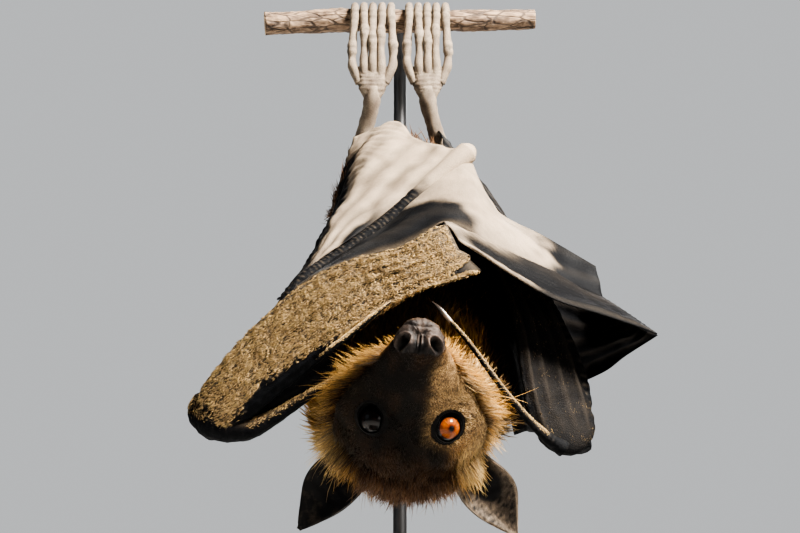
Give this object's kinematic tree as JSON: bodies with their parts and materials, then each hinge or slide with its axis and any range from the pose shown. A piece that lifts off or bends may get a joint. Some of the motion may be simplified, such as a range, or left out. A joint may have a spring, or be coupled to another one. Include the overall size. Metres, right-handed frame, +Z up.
{
  "type": "hanging fruit bat model",
  "caption": "Life-size still model of a fruit bat hanging head down from a short cut branch, wings folded round the body, held on a rod over a flat base.",
  "frame": {"origin": "centre of the underside of the base plate, under the middle of the model's bounding box", "axes": "+Z up along the rod, from the floor to the branch; the bat's face and belly look towards -Y; +X is on the right of someone facing it"},
  "size_m": [0.24, 0.22, 0.498],
  "materials": {
    "face_coat": "short dense fur, matt",
    "mantle_coat": "long soft fur, matt",
    "body_coat": "dense fur, matt",
    "nose_skin": "bare, finely grained, slightly moist",
    "ear_skin": "thin bare skin, satin",
    "wing_skin": "dry wrinkled membrane, soft sheen",
    "foot_skin": "bare ringed skin, matt",
    "claw": "hard horn, polished",
    "eye": "wet, very glossy",
    "bark": "rough bark, matt",
    "stand_base_paint": "satin paint",
    "stand_rod_steel": "satin paint"
  },
  "bodies": {
    "root": {"ear_left": "ear_skin", "ear_right": "ear_skin", "eye_left": "eye", "eye_right": "eye", "foot_left": "foot_skin", "foot_right": "foot_skin", "head": "face_coat", "muzzle": "face_coat", "neck": "mantle_coat", "nose": "nose_skin", "perch": "bark", "shank_left": "foot_skin", "shank_right": "foot_skin", "stand_base": "stand_base_paint", "stand_rod": "stand_rod_steel", "thigh_left": "body_coat", "thigh_right": "body_coat", "trunk": "body_coat", "wing_left_arm_membrane": "wing_skin", "wing_left_elbow_fold": "wing_skin", "wing_left_fingers": "wing_skin", "wing_left_forearm": "wing_skin", "wing_left_hand": "wing_skin", "wing_left_propatagium": "wing_skin", "wing_left_thumb": "wing_skin", "wing_left_thumb_web": "wing_skin", "wing_left_tip": "wing_skin", "wing_left_upper_arm": "wing_skin", "wing_right_arm_membrane": "wing_skin", "wing_right_forearm": "wing_skin", "wing_right_hand": "wing_skin", "wing_right_inner_membrane": "wing_skin", "wing_right_propatagium": "wing_skin", "wing_right_thumb": "wing_skin", "wing_right_upper_arm": "wing_skin"}
  },
  "joints": []
}
